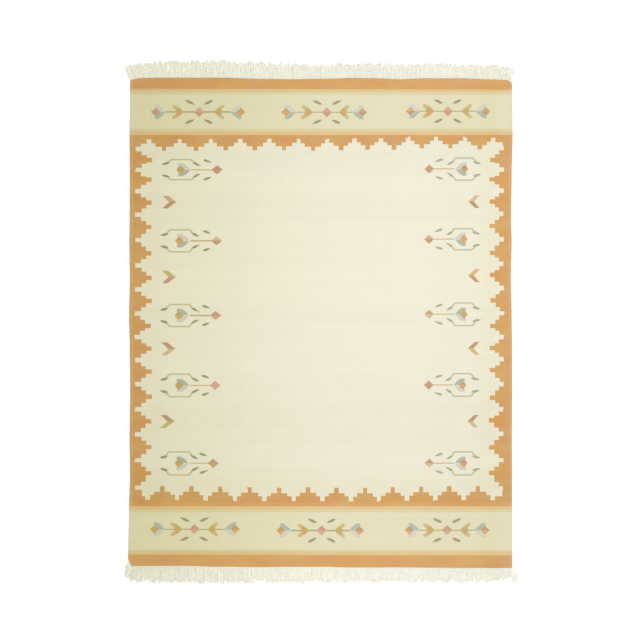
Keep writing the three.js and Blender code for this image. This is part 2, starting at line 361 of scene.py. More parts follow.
# %% [markdown]
# ## Motifs
#
# The end panels carry three flower sprays each, and the sides five half-medallions with a bud on a
# stem, with small arrowheads between them. Every one could be drawn by itself, but a weaver repeats
# them, so a motif is charted once, in counts from its own middle, and turned over and drawn out as
# needed. Each stem, leaf, petal and bud is a polygon of a few corners.

# %% Place a charted shape
COUNT = 6.384  # the unit that the motifs are charted in, in millimetres
SIGNS = [(side, end) for side in (-1, 1) for end in (-1, 1)]


def charted(yarn, corners, at, flip=(1, 1)):
    """A charted shape with its origin at a point, stretched or turned over by the two factors."""
    return yarn, [(at[0] + flip[0] * x * COUNT, at[1] + flip[1] * y * COUNT) for x, y in corners]


print(f"one count is {COUNT / RIB:.2f} ribs wide and {COUNT / ROW:.2f} rows high")

# %% Flower sprays of the end panels
# Each spray: its middle, which way up, the reach in counts of the left and right flower and of the
# left and right bud, and the two yarns of each bud, lower and upper
SPRAYS = [
    ((-773, 1342), 1, (15.2, 14.4), (43.6, 41.6), (("coral", "coral"), ("apricot", "ochre"))),
    ((42, 1341), 1, (14.0, 11.8), (41.1, 35.6), (("apricot", "ochre"), ("brown", "ochre"))),
    ((814, 1347), 1, (13.3, 13.4), (37.5, 38.0), (("brown", "apricot"), ("brown", "ochre"))),
    ((-804, -1321), -1, (12.1, 13.0), (39.7, 40.8), (("ochre", "ochre"), ("apricot", "brown"))),
    ((9, -1329), -1, (12.6, 12.5), (40.8, 37.6), (("apricot", "brown"), ("apricot", "brown"))),
    ((809, -1327), -1, (12.3, 12.6), (37.6, 37.7), (("apricot", "brown"), ("apricot", "brown"))),
]
STEM_HALF, STEM_SHORT = 0.6, 9  # half its thickness, and how far it stops short of a bud's middle
SPRAY_LEAF = [(4.6, 7.4), (8.2, 7.6), (12.4, 9.6), (14.2, 11.8), (10.4, 11.6), (6.8, 9.8)]
FLOWER_WING = [(2.4, 0), (8.2, 1.6), (10.2, 3.2), (12, 5.2), (10.6, 7), (6.4, 5.6), (2.8, 3)]
FLOWER_HALF = [(0, 0), (3, 3), (5.4, 4.4), (8, 2.6), (8, 0)]
OPEN_WING = [(2.4, 0), (7.4, 1.6), (9.4, 3.4), (11, 6), (9, 7.4), (5.6, 5.2), (2.6, 2.8)]
OPEN_HALF = [(0, 0), (3, 2.6), (5.6, 3.6), (8, 1.6), (8, 0)]
HEART_HALF = [(-5.4, 0), (5.4, 0), (0, 5)]
PETAL = [(-10.5, 0), (-1.5, 0), (1.2, 6.8), (-2.6, 7.2), (-6.5, 4.2)]
BUD_HALF = [(-4.6, 0), (4.6, 0), (0, 4.4)]


def spray(middle, up, flowers, buds, bud_yarns):
    """The areas of one spray: stem, leaves, two flowers, heart, and a bud in petals at each end."""
    middle = true_place(*middle)
    stem = block(STEM_SHORT - buds[0], -STEM_HALF, buds[1] - STEM_SHORT, STEM_HALF)
    yield charted("stem", stem, middle)
    for flip in SIGNS:
        yield charted("leaf", SPRAY_LEAF, middle, flip)
    forms = ((FLOWER_WING, FLOWER_HALF), (OPEN_WING, OPEN_HALF))
    for side, reach, (wing, half) in zip((-1, 1), flowers, forms):
        at = (middle[0] + side * reach * COUNT, middle[1])
        for flip_y, yarn in ((1, "ochre"), (-1, "apricot" if side < 0 else "ochre")):
            yield charted("straw", wing, at, (side, flip_y))
            yield charted(yarn, half, at, (side, flip_y))
    for flip_y, yarn in ((up, "pink"), (-up, "coral")):
        yield charted(yarn, HEART_HALF, middle, (1, flip_y))
    for side, reach, (lower, upper) in zip((-1, 1), buds, bud_yarns):
        at = (middle[0] + side * reach * COUNT, middle[1])
        yield charted("blue", PETAL, at, (side, -up))
        yield charted("mist", PETAL, at, (side, up))
        yield charted(lower, BUD_HALF, at, (1, -1))
        yield charted(upper, BUD_HALF, at)


for row in SPRAYS:
    pattern += spray(*row)
print(len(pattern), "areas with the sprays")

# %% Half-medallions and buds down the sides
RIGHT_SQUEEZE = 0.875  # the frames on the right are this much shorter
# Each medallion: side, how far from the middle of the rug its outer tips and its bud lie, where it
# lies along the rug, half the height of its frame in counts, the yarns of the bud and of the heart
# of the flower, lower and upper, and on which side the darker petal lies
MEDALLIONS = [
    (-1, 1014, 659, 973, 10.8, ("coral", "brown"), ("ochre", "ochre"), -1),
    (-1, 1021, 663, 520, 11.7, ("brown", "tan"), ("apricot", "ochre"), -1),
    (-1, 1024, 668, 43, 11.6, ("pink", "coral"), ("apricot", "ochre"), 1),
    (-1, 1023, 671, -403, 12.0, ("pink", "pink"), ("ochre", "ochre"), 1),
    (-1, 1025, 684, -900, 12.4, ("ochre", "coral"), ("apricot", "ochre"), 1),
    (1, 1026, 695, 978, 11.8, ("coral", "coral"), ("ochre", "brown"), -1),
    (1, 1022, 694, 530, 11.4, ("brown", "pink"), ("apricot", "ochre"), -1),
    (1, 1023, 695, 51, 12.0, ("tan", "ochre"), ("ochre", "ochre"), 1),
    (1, 1015, 692, -401, 12.0, ("coral", "coral"), ("apricot", "ochre"), 1),
    (1, 1021, 696, -900, 12.3, ("tan", "coral"), ("apricot", "brown"), 1),
]
OUTER_LEAF = [(0, 5.2), (3.4, 4.6), (6.6, 5.6), (8.6, 7.4), (5, 7.8), (1.8, 6.8)]
INNER_LEAF = [(31, 8.2), (34.6, 7.6), (39.6, 4), (36, 4.1), (32.4, 5.8)]
TIP_LEAF = [(-14.2, 9.9), (-11.4, 10.6), (-8, 9.2), (-5.4, 7), (-9.4, 7.4), (-12.6, 8.4)]
CUP_PETAL = [(16, 4.8), (17.4, 6.8), (21.4, 6.6), (25.6, 4), (29, 0.2), (22.6, 0.2), (20, 2.8)]
CUP_HALF = [(14.8, 0), (23.2, 0), (21.4, 2.4), (18.2, 4.4)]
SIDE_BUD_HALF = [(-5.6, 0), (5.6, 0), (0, 4.6)]
STALK_START, STALK_SHORT, STALK_HALF = 30, 4, 0.55  # from the flower to just short of the bud


def frame_line(tall):
    """The upper half of the line round a medallion, whose top lies this many counts up."""
    return [(4.6, 7.2), (8.4, tall - 0.7), (9.6, tall), (29.6, tall), (30.8, tall - 0.8),
            (32.6, 8.4), (31, 7.7), (29.3, tall - 1.9), (28.8, tall - 1.5), (10.2, tall - 1.5),
            (9.5, tall - 2.1), (6.4, 6.8)]


def medallion(side, tips, bud_place, along, tall, bud_yarns, heart_yarns, dark):
    """The areas of one half-medallion: stalk, frame, leaves, the flower in its cup, and the bud."""
    at, bud = true_place(side * tips, along), true_place(side * bud_place, along)
    squeeze, leaf = (1, "leaf") if side < 0 else (RIGHT_SQUEEZE, "sage")
    stalk_end = (tips - bud_place) / COUNT - STALK_SHORT
    stalk = block(STALK_START * squeeze, -STALK_HALF, stalk_end, STALK_HALF)
    yield charted("olive", stalk, at, (-side, 1))
    for up, bud_yarn, heart_yarn in zip((-1, 1), bud_yarns, heart_yarns):
        flip = (-side * squeeze, up)
        yield charted("outline", frame_line(tall), at, flip)
        yield charted(leaf, OUTER_LEAF, at, (-side, up))
        yield charted(leaf, INNER_LEAF, at, flip)
        yield charted(leaf, TIP_LEAF, bud, (-side, up))
        yield charted("blue" if up == dark else "mist", CUP_PETAL, at, flip)
        yield charted(heart_yarn, CUP_HALF, at, flip)
        yield charted(bud_yarn, SIDE_BUD_HALF, bud, (squeeze, up))


for row in MEDALLIONS:
    pattern += medallion(*row)
print(len(pattern), "areas with the medallions")

# %% Arrowheads between them
# Each arrowhead: side, how far from the middle of the rug its open end lies, where it lies along
# the rug, how far it is drawn out, and its yarns, lower and upper
ARROWS = [
    (-1, 1019, 767, 1, ("brown", "pink")), (1, 1024, 770, 0.8, ("brown", "tan")),
    (-1, 1022, 289, 1, ("coral", "olive")), (1, 1024, 298, 0.8, ("brown", "straw")),
    (-1, 1024, -170, 1, ("tan", "brown")), (1, 1022, -166, 0.8, ("straw", "brown")),
    (-1, 1030, -633, 1, ("straw", "brown")), (1, 1018, -632, 0.8, ("tan", "brown")),
]
ARROW_LIMB = [(1.4, 6.4), (7.2, 6.4), (15.6, 0), (8.6, 0)]

for side, tips, along, stretch, yarns in ARROWS:
    at = true_place(side * tips, along)
    for up, yarn in zip((-1, 1), yarns):
        pattern.append(charted(yarn, ARROW_LIMB, at, (-side * stretch, up)))
print(len(pattern), "areas in the whole pattern")

# %% [markdown]
# ## From areas to steps to a mesh
#
# Each weft row starts and stops between two warps. So an area is read row by row, and each row's
# span is rounded to whole ribs. Spans that repeat are joined to blocks. The blocks could be cut
# into the cloth with Boolean modifiers, one after the other, but a constrained triangulation takes
# all of them at once and says which areas own each triangle.

# %% Read an area row by row
LEAST_SPAN = 0.4  # a span narrower than this, in ribs, is left out
HALF_RIBS, HALF_ROWS = WARPS // 2, WEFT_ROWS // 2


def woven_blocks(corners):
    """Blocks of whole ribs and rows that stand for an area, as (x0, y0, x1, y1)."""
    corners = np.array(corners, float) / (RIB, ROW)
    ends = np.roll(corners, -1, axis=0)
    blocks, open_spans = [], {}
    for row in range(math.floor(corners[:, 1].min()), math.ceil(corners[:, 1].max()) + 1):
        level = row + 0.5  # the middle of the row
        crossing = (corners[:, 1] <= level) != (ends[:, 1] <= level)
        a, b = corners[crossing], ends[crossing]
        xs = sorted(a[:, 0] + (level - a[:, 1]) * (b[:, 0] - a[:, 0]) / (b[:, 1] - a[:, 1]))
        spans = {(round(x0), max(round(x1), round(x0) + 1))
                 for x0, x1 in zip(xs[::2], xs[1::2]) if x1 - x0 > LEAST_SPAN}
        for span in [s for s in open_spans if s not in spans]:
            blocks.append((span[0], open_spans.pop(span), span[1], row))
        for span in spans:
            open_spans.setdefault(span, row)
    return blocks


woven = []
for yarn, corners in pattern:
    for x0, y0, x1, y1 in woven_blocks(corners):
        x0, x1 = np.clip((x0, x1), -HALF_RIBS, HALF_RIBS).tolist()
        y0, y1 = np.clip((y0, y1), -HALF_ROWS, HALF_ROWS).tolist()
        if x1 > x0 and y1 > y0:
            woven.append((yarn, (x0, y0, x1, y1)))
print(len(woven), "blocks of whole ribs and rows")

# %% Number the mesh corners of the blocks
corner_index, corner_places, faces = {}, [], []


def corner_at(x, y):
    """Number of the mesh corner at this rib and row; a new one is added where there is none."""
    key = (round(x, 3), round(y, 3))
    if key not in corner_index:
        corner_index[key] = len(corner_places)
        corner_places.append(Vector((key[0] * RIB, key[1] * ROW)))
    return corner_index[key]


for _, spans in woven:
    faces.append([corner_at(x, y) for x, y in block(*spans)])
print(len(corner_places), "corners of blocks")

# %% Triangulate the blocks together with an even grid
GRID_RIBS, GRID_ROWS = 8, 12  # spacing of the even grid
GRID_INSET = 10  # the even grid keeps this many ribs clear of the sides
# Lines that follow the round of the selvedge cords, by their distance from the side
SELVEDGE_STEPS = np.array([0, 2.5, 5, 7.5, 10, 12.5, 15, 17.5, 20, 26]) / RIB
INSIDE_ONLY, MERGE_WITHIN = 1, 1e-4

for y in [*range(-HALF_ROWS, HALF_ROWS, GRID_ROWS), HALF_ROWS]:
    for x in range(GRID_INSET - HALF_RIBS, HALF_RIBS - GRID_INSET + 1, GRID_RIBS):
        corner_at(x, y)
    for x in SELVEDGE_STEPS:
        corner_at(x - HALF_RIBS, y)
        corner_at(HALF_RIBS - x, y)
# No triangle may cross the lines along the cords, which keeps the cords round
cord_lines = [(corner_at(x, -HALF_ROWS), corner_at(x, HALF_ROWS))
              for step in SELVEDGE_STEPS for x in (step - HALF_RIBS, HALF_RIBS - step)]
flat_points, _, triangles, _, _, owners = delaunay_2d_cdt(
    corner_places, cord_lines, faces, INSIDE_ONLY, MERGE_WITHIN, True)
flat_points, triangles = np.array([tuple(v) for v in flat_points]), np.array(triangles)
print(len(flat_points), "points and", len(triangles), "triangles in the upper face")

# %% [markdown]
# ## The cloth as a thin closed solid
#
# A flat weave looks the same on both faces, so the upper face's triangles serve twice: once lifted
# to the height of the cloth, and once turned over on the floor. A wall one quad high closes the
# rim. A Solidify modifier would do that too, but here the underside has to stay flat.


# %% Yarn colour of each triangle
def linear(colour):
    """Linear light from an sRGB colour of 0 to 255."""
    c = np.array(colour) / 255
    return np.where(c <= 0.04045, c / 12.92, ((c + 0.055) / 1.055) ** 2.4)


PHOTO_WHITE = 1.28  # how far the floor is over-exposed, so that a pale rug stays below pure white
DYES = {yarn: np.append(linear(colour) / PHOTO_WHITE, dye) for yarn, (colour, dye) in YARNS.items()}
top_yarn = [woven[max(own)][0] for own in owners]  # of all areas at a triangle, the last is on top
triangle_dye = np.array([DYES[yarn] for yarn in top_yarn])
print("triangles of each yarn:", {yarn: top_yarn.count(yarn) for yarn in YARNS})

# %% Points, faces and wall
a, b, c = (flat_points[triangles[:, i]] for i in range(3))
turned = np.cross(b - a, c - a) < 0
triangles[turned] = triangles[turned][:, ::-1]
edges = np.concatenate([triangles[:, [0, 1]], triangles[:, [1, 2]], triangles[:, [2, 0]]])
edge_face = np.tile(np.arange(len(triangles)), 3)
known = {tuple(edge) for edge in edges.tolist()}
rim_edges = [(edge, face) for edge, face in zip(edges.tolist(), edge_face)
             if (edge[1], edge[0]) not in known]

total = len(flat_points)
plan = cloth_plan(flat_points) + SHIFT
upper = np.column_stack([plan, upper_height(flat_points)]) * MM
under = np.column_stack([plan, np.zeros(total)]) * MM
face_list = triangles.tolist() + (triangles[:, ::-1] + total).tolist()
face_list += [[p + total, q + total, q, p] for (p, q), _ in rim_edges]
both_faces_dye = np.repeat(np.concatenate([triangle_dye, triangle_dye]), 3, 0)
wall_dye = np.repeat(triangle_dye[[face for _, face in rim_edges]], 4, 0)
print(len(rim_edges), "quads in the wall")

# %% Build the mesh with its yarn colours
CREASE_ANGLE = math.radians(50)

cloth_mesh = bpy.data.meshes.new("rug_cloth")
cloth_mesh.from_pydata(np.concatenate([upper, under]).tolist(), [], face_list)
cloth = bpy.data.objects.new("rug_cloth", cloth_mesh)
scene.collection.objects.link(cloth)
cloth_mesh.shade_smooth()
cloth_mesh.set_sharp_from_angle(angle=CREASE_ANGLE)

yarn_colour = cloth_mesh.attributes.new("yarn", "FLOAT_COLOR", "CORNER")
yarn_colour.data.foreach_set("color", np.concatenate([both_faces_dye, wall_dye]).ravel())
print("cloth:", len(cloth_mesh.vertices), "points,", len(cloth_mesh.polygons), "faces")

# %% [markdown]
# The weave has to bend with the cloth, so its material reads a map that holds the place of each
# point in the true rectangle, before it drifts. Both faces share that map. A baked picture needs
# another one, in which no two faces overlap, so the second map lays the two faces side by side in
# one square, most of it for the upper face, and the wall as a thin strip round the upper one.

# %% Two maps
MAP_SIZE = np.array([2.5, 3.16])  # what the second map covers, in metres: all the cloth and more
UPPER_SHARE, LOWER_START, LOWER_SHARE = 0.75, 0.76, 0.23
WALL_STRIP = (0.0015, 0.002)  # how far the foot of the wall lies outside the upper face
RIM_NEAR = 1e-4

corner_points = np.array([v for face in face_list for v in face])
in_pattern = flat_points[corner_points % total] * MM
cloth_mesh.uv_layers.new(name="weave").data.foreach_set("uv", in_pattern.ravel())

wall_start, wall_corners = 6 * len(triangles), 4 * len(rim_edges)
of_upper = np.repeat([True, False, True], [wall_start // 2, wall_start // 2, wall_corners])
across, along = ((in_pattern + MAP_SIZE / 2) / MAP_SIZE).T
across = np.where(of_upper, across * UPPER_SHARE, LOWER_START + across * LOWER_SHARE)
spread = np.column_stack([across, along])

wall = in_pattern[wall_start:]
at_rim = np.abs(wall) > (HALF_WIDTH * MM - RIM_NEAR, HALF_LENGTH * MM - RIM_NEAR)
lower_corner = corner_points[wall_start:] >= total
spread[wall_start:] += np.sign(wall) * at_rim * lower_corner[:, None] * WALL_STRIP
cloth_mesh.uv_layers.new(name="OFBake").data.foreach_set("uv", spread.ravel())
cloth_mesh.validate()
print("maps:", [layer.name for layer in cloth_mesh.uv_layers])

# %% [markdown]
# ## Wool, woven
#
# Close up, a weft-faced flat weave shows a rib over every warp, and on each rib the weft lies in
# small beads that shift sideways from row to row; their hollows are painted darker, as painted
# shade, and their crowns lighter. From afar the yarn's own unevenness shows: bands along the weft
# where the dye or the spinning changed, faint streaks along the warp, and mottling.
# The wool is also painted darker towards the left, as painted shade where the light falls off,
# and yellower there, and a little darker near the right border. An image texture would need
# thousands of pixels each way to hold the ribs. Here all of it is worked out from the pattern's
# own map, so it stays sharp and bends with the cloth.


# %% Helpers for building node trees
def add(tree, kind, sockets=None, **settings):
    """Add a node, set its properties, and link or set its input sockets."""
    made = tree.nodes.new(kind)
    for name, value in settings.items():
        setattr(made, name, value)
    for name, value in (sockets or {}).items():
        if isinstance(value, bpy.types.NodeSocket):
            tree.links.new(value, made.inputs[name])
        else:
            made.inputs[name].default_value = value
    return made


def calc(tree, operation, *values):
    """Result socket of one Math node."""
    return add(tree, "ShaderNodeMath", dict(enumerate(values)), operation=operation).outputs[0]


def noise(tree, u, v, across, along, detail):
    """Noise about zero, from -1 to 1, with its own number of patches per metre across and along."""
    sizes = {0: calc(tree, "MULTIPLY", u, across), 1: calc(tree, "MULTIPLY", v, along)}
    place = add(tree, "ShaderNodeCombineXYZ", sizes).outputs[0]
    texture = add(tree, "ShaderNodeTexNoise", {"Vector": place, "Scale": 1.0, "Detail": detail})
    return calc(tree, "MULTIPLY_ADD", texture.outputs[0], 2.0, -1.0)


# %% Painted shade and yellowing across the rug, and dye lots
# How light the wool is, painted darker towards the left as shade where the light falls off, and how
# much blue it lacks: at places across the rug, and in each lot of weft from a place along the rug
# onwards, because no two lots took the dye alike
SHADE_AND_YELLOWING_ACROSS = [
    (-1150, 0.91, 0.12), (-1050, 0.908, 0.12), (-960, 0.93, 0.105), (-640, 0.955, 0.08),
    (-385, 0.98, 0.045), (-130, 0.997, 0.03), (100, 1.0, 0.0), (600, 0.993, 0.0),
    (820, 0.965, 0.0), (960, 0.961, 0.01), (1090, 0.933, 0.065), (1180, 0.95, -0.02),
]
LOTS = [
    (-1700, 1.04, -0.01), (-1150, 0.966, 0.06), (-1000, 0.981, 0.05), (-940, 0.991, 0.01),
    (-790, 0.98, 0.015), (-520, 0.992, 0.0), (-370, 1.003, -0.005), (0, 0.993, 0.0),
    (85, 1.01, 0.01), (320, 1.002, 0.012), (630, 0.986, 0.01), (820, 1.0, 0.012),
    (930, 0.976, -0.005), (1030, 0.971, 0.015), (1180, 1.0, 0.0),
]
RAMP_HALF = 1.75  # both tables lie between minus and plus this, in metres
MIX_A, MIX_B, MIX_RESULT = 6, 7, 2  # the colour sockets of a Mix node


def times_table(tree, colour, place, table, interpolation, share):
    """The colour times a table of tones along one direction, of which only a share is taken."""
    spot = add(tree, "ShaderNodeMapRange",
               {"Value": place, "From Min": -RAMP_HALF, "From Max": RAMP_HALF})
    ramp = add(tree, "ShaderNodeValToRGB", {0: spot.outputs[0]})
    ramp.color_ramp.interpolation = interpolation
    stops = ramp.color_ramp.elements
    while len(stops) < len(table):
        stops.new(1.0)
    for stop, (start, tone, less_blue) in zip(stops, table):
        stop.position = (start * MM + RAMP_HALF) / (2 * RAMP_HALF)
        stop.color = (tone, tone, tone * (1 - less_blue), 1)
    return add(tree, "ShaderNodeMix", {"Factor": share, MIX_A: colour, MIX_B: ramp.outputs[0]},
               data_type="RGBA", blend_type="MULTIPLY").outputs[MIX_RESULT]


print(len(SHADE_AND_YELLOWING_ACROSS), "places of the painted_shade and", len(LOTS), "lots of weft")

# %% Tones of hand-dyed, handspun wool
# Unevenness of the tone: patches per metre across and along, detail, strength
TONES = [(0.5, 22, 3, 0.030), (48, 0.7, 2, 0.016), (7, 9, 4, 0.020), (240, 620, 2, 0.055)]
# Painted shade: the hollows of the relief are painted darker and its crowns lighter
HOLLOW_SHADE_TONE, CROWN_LIGHT_TONE = 0.93, 0.10  # tone in the hollows, and how much lighter the crowns are
# How far the hue and the strength of the liveliest dye wander, in patches of this kind
HUE_WANDER, HUE_PATCHES = 0.020, (5, 11, 2)
STRENGTH_WANDER, STRENGTH_PATCHES = 0.10, (3, 14, 3)


def toned(tree, colour, dye, u, v, relief, share=1.0):
    """Yarn colour with all its unevenness and with painted shade in the hollows of the relief; dye
    is how strongly the hue may wander.
    """
    # painted shade: darker towards the left, where the light falls off, and yellower there
    colour = times_table(tree, colour, u, SHADE_AND_YELLOWING_ACROSS, "LINEAR", share)
    colour = times_table(tree, colour, v, LOTS, "CONSTANT", share)
    # painted shade in the hollows of the relief, painted light on its crowns
    tone = calc(tree, "MULTIPLY_ADD", relief, CROWN_LIGHT_TONE, HOLLOW_SHADE_TONE)
    for across, along, detail, strength in TONES:
        tone = calc(tree, "MULTIPLY_ADD", noise(tree, u, v, across, along, detail), strength, tone)
    drift = calc(tree, "MULTIPLY", noise(tree, u, v, *HUE_PATCHES), dye)
    hue = calc(tree, "MULTIPLY_ADD", drift, HUE_WANDER, 0.5)
    drift = calc(tree, "MULTIPLY", noise(tree, u, v, *STRENGTH_PATCHES), dye)
    strength = calc(tree, "MULTIPLY_ADD", drift, STRENGTH_WANDER, 1.0)
    return add(tree, "ShaderNodeHueSaturation",
               {"Hue": hue, "Saturation": strength, "Value": tone, "Color": colour}).outputs[0]


print(len(TONES), "kinds of unevenness")

# %% Woven wool: ribs and beads
PICK = ROW / 2 * MM  # one weft yarn
ABOVE_ZERO = 10.0  # metres added to v, so that picks are counted upwards from zero everywhere

wool, tree, shader = new_material("woven_wool")
pattern_map = add(tree, "ShaderNodeUVMap", uv_map="weave").outputs[0]
u, v = add(tree, "ShaderNodeSeparateXYZ", {0: pattern_map}).outputs[:2]
rib_angle = calc(tree, "MULTIPLY", u, math.pi / (RIB * MM))
pick_angle = calc(tree, "MULTIPLY", v, math.pi / PICK)
picks = calc(tree, "DIVIDE", calc(tree, "ADD", v, ABOVE_ZERO), PICK)
odd_pick = calc(tree, "MODULO", calc(tree, "FLOOR", picks), 2.0)
rib_round = calc(tree, "ABSOLUTE", calc(tree, "SINE", rib_angle))
bead_angle = calc(tree, "MULTIPLY_ADD", odd_pick, math.pi, rib_angle)
bead = calc(tree, "MULTIPLY_ADD", calc(tree, "COSINE", bead_angle), 0.5, 0.5)
pick_round = calc(tree, "ABSOLUTE", calc(tree, "SINE", pick_angle))
rib_part = calc(tree, "MULTIPLY", rib_round, 0.5)
bead_part = calc(tree, "MULTIPLY", calc(tree, "MULTIPLY", bead, pick_round), 0.5)
relief = calc(tree, "ADD", rib_part, bead_part)
print(f"one pick is {PICK / MM:.2f} mm")

# %% Woven wool: colour, bump and sheen
FUZZ_PATCHES, FUZZ_DEPTH = (500, 900, 2), 0.12
HOLLOW_ROUGHNESS, CROWN_POLISH = 0.95, 0.08  # roughness in the hollows, and what the crowns lose
YARN_SPECULAR, SHEEN_ROUGHNESS = 0.25, 0.5  # of every yarn

yarn = add(tree, "ShaderNodeAttribute", attribute_name="yarn")
colour = toned(tree, yarn.outputs["Color"], yarn.outputs["Alpha"], u, v, relief)
tree.links.new(colour, shader.inputs["Base Color"])
fuzz = calc(tree, "MULTIPLY_ADD", noise(tree, u, v, *FUZZ_PATCHES), FUZZ_DEPTH, relief)
bump = add(tree, "ShaderNodeBump", {"Height": fuzz, "Strength": 0.7, "Distance": 0.0006})
tree.links.new(bump.outputs[0], shader.inputs["Normal"])
roughness = calc(tree, "MULTIPLY_ADD", relief, -CROWN_POLISH, HOLLOW_ROUGHNESS)
tree.links.new(roughness, shader.inputs["Roughness"])
shader.inputs["Specular IOR Level"].default_value = YARN_SPECULAR
shader.inputs["Sheen Weight"].default_value = 0.12
shader.inputs["Sheen Roughness"].default_value = SHEEN_ROUGHNESS
cloth_mesh.materials.append(wool)
print("woven wool:", len(tree.nodes), "nodes")

# %% [markdown]
# ## Selvedges
#
# Down each side the weft turns round two stout warp cords, which keeps the edge from fraying. Seen
# close it is a row of short wraps over each cord, painted a little paler than the cloth: a painted
# lift that offsets the shade on their steep sides. A bump could hint at them, but an edge is seen
# from the side, where a bump shows nothing. They repeat hundreds of times along a path, so Geometry
# Nodes lay them: an arch of yarn is made once, turned to the path, and set down at every pitch. The
# paths wander as the cloth's edge does.


# %% Begin and end a tree of Geometry Nodes
def new_tree(name, **sizes):
    """A node tree with a geometry input and output, and one named input for each size."""
    tree = bpy.data.node_groups.new(name, "GeometryNodeTree")
    tree.interface.new_socket("Geometry", in_out="OUTPUT", socket_type="NodeSocketGeometry")
    tree.interface.new_socket("Geometry", in_out="INPUT", socket_type="NodeSocketGeometry")
    for size, value in sizes.items():
        kind = "NodeSocketInt" if isinstance(value, int) else "NodeSocketFloat"
        tree.interface.new_socket(size, in_out="INPUT", socket_type=kind).default_value = value
    return tree, tree.nodes.new("NodeGroupInput").outputs


def close_tree(tree, geometry, material):
    """End a tree: real geometry, smooth shading and a material."""
    real = add(tree, "GeometryNodeRealizeInstances", {0: geometry}).outputs[0]
    smooth = add(tree, "GeometryNodeSetShadeSmooth", {0: real}).outputs[0]
    painted = add(tree, "GeometryNodeSetMaterial", {"Geometry": smooth, "Material": material})
    tree.links.new(painted.outputs[0], tree.nodes.new("NodeGroupOutput").inputs[0])
    print(f"{tree.name}: {len(tree.nodes)} nodes")


# %% Run a tree on paths
def grow(name, points, edges, attributes, tree, **sizes):
    """Run a tree on points and edges that carry attributes; returns the result as an object."""
    seed_mesh = bpy.data.meshes.new(name + "_path")
    seed_mesh.from_pydata(points, edges, [])
    for attribute, values in attributes.items():
        seed_mesh.attributes.new(attribute, "FLOAT", "POINT").data.foreach_set("value", values)
    path = bpy.data.objects.new(name + "_path", seed_mesh)
    scene.collection.objects.link(path)
    modifier = path.modifiers.new(tree.name, "NODES")
    modifier.node_group = tree
    for item in tree.interface.items_tree:
        if item.in_out == "INPUT" and item.name in sizes:
            modifier[item.identifier] = sizes[item.name]
    bpy.context.view_layer.update()
    evaluated = path.evaluated_get(bpy.context.evaluated_depsgraph_get())
    mesh = bpy.data.meshes.new_from_object(evaluated)
    mesh.name = name
    path.modifiers.remove(modifier)
    bpy.data.objects.remove(path)
    piece = bpy.data.objects.new(name, mesh)
    scene.collection.objects.link(piece)
    count = sum(len(face.vertices) - 2 for face in mesh.polygons)
    print(f"{name}: {len(mesh.vertices)} points, {count} triangles")
    return piece


def paths_to_mesh(paths):
    """Points and edges of several open paths."""
    points, edges = [], []
    for path in paths:
        edges += [(len(points) + i, len(points) + i + 1) for i in range(len(path) - 1)]
        points += [tuple(p) for p in path]
    return points, edges


# %% Random numbers in a tree
def random_between(tree, low, high, seed, number=None):
    """A random number for each element, or for each value of the number given."""
    sockets = {2: low, 3: high, 8: seed}  # the float sockets of the node
    if number is not None:
        sockets[7] = number
    return add(tree, "FunctionNodeRandomValue", sockets, data_type="FLOAT").outputs[1]


# %% Yarn seen one by one
FIBRE_DETAIL = 3
FIBRE_ROUGHNESS, FIBRE_POLISH = 0.93, 0.06  # between the fibres, and what their crowns lose


def fibre_material(name, fuzz_across, fuzz_along, bump_distance, sheen, share):
    """A yarn with its colour from the yarn attribute, and with fibres and fine fuzz."""
    material, tree, shader = new_material(name)
    place = add(tree, "ShaderNodeTexCoord").outputs["Object"]
    u, v = add(tree, "ShaderNodeSeparateXYZ", {0: place}).outputs[:2]
    yarn = add(tree, "ShaderNodeAttribute", attribute_name="yarn")
    fibres = noise(tree, u, v, fuzz_across, fuzz_along, FIBRE_DETAIL)
    relief = calc(tree, "MULTIPLY_ADD", fibres, 0.5, 0.5)
    # the relief also paints shade between the fibres, and light on them, into the colour
    colour = toned(tree, yarn.outputs["Color"], yarn.outputs["Alpha"], u, v, relief, share)
    tree.links.new(colour, shader.inputs["Base Color"])
    bump = add(tree, "ShaderNodeBump",
               {"Height": relief, "Strength": 0.5, "Distance": bump_distance})
    tree.links.new(bump.outputs[0], shader.inputs["Normal"])
    roughness = calc(tree, "MULTIPLY_ADD", relief, -FIBRE_POLISH, FIBRE_ROUGHNESS)
    tree.links.new(roughness, shader.inputs["Roughness"])
    shader.inputs["Specular IOR Level"].default_value = YARN_SPECULAR
    shader.inputs["Sheen Weight"].default_value = sheen
    shader.inputs["Sheen Roughness"].default_value = SHEEN_ROUGHNESS
    print(f"{name}: {len(tree.nodes)} nodes")
    return material


selvedge_wool = fibre_material("selvedge_wool", fuzz_across=900, fuzz_along=260,
                               bump_distance=0.0003, sheen=0.15, share=1.0)

# %% The tree that wraps a cord: one arch of yarn
ARCH_POINTS, YARN_SIDES = 7, 4
WRAP_BREADTH = 2.7  # a wrap is several yarns side by side, so it is broader than it is thick

tree, given = new_tree("wrap_cord", Pitch=0.005, HalfWidth=0.005, Base=0.0012, Rise=0.0034,
                       YarnHalf=0.0009, Seed=3)
arc = add(tree, "GeometryNodeCurveArc", {"Resolution": ARCH_POINTS, "Radius": 1.0,
                                         "Start Angle": 0.0, "Sweep Angle": math.pi}).outputs[0]
upright = add(tree, "GeometryNodeTransform",
              {"Geometry": arc, "Rotation": (math.pi / 2, 0, 0)}).outputs[0]
arch_size = add(tree, "ShaderNodeCombineXYZ",
                {0: given["HalfWidth"], 1: 1.0, 2: given["Rise"]}).outputs[0]
arch_lift = add(tree, "ShaderNodeCombineXYZ", {2: given["Base"]}).outputs[0]
arch = add(tree, "GeometryNodeTransform",
           {"Geometry": upright, "Translation": arch_lift, "Scale": arch_size}).outputs[0]
round_yarn = add(tree, "GeometryNodeCurvePrimitiveCircle",
                 {"Resolution": YARN_SIDES, "Radius": given["YarnHalf"]}).outputs[0]
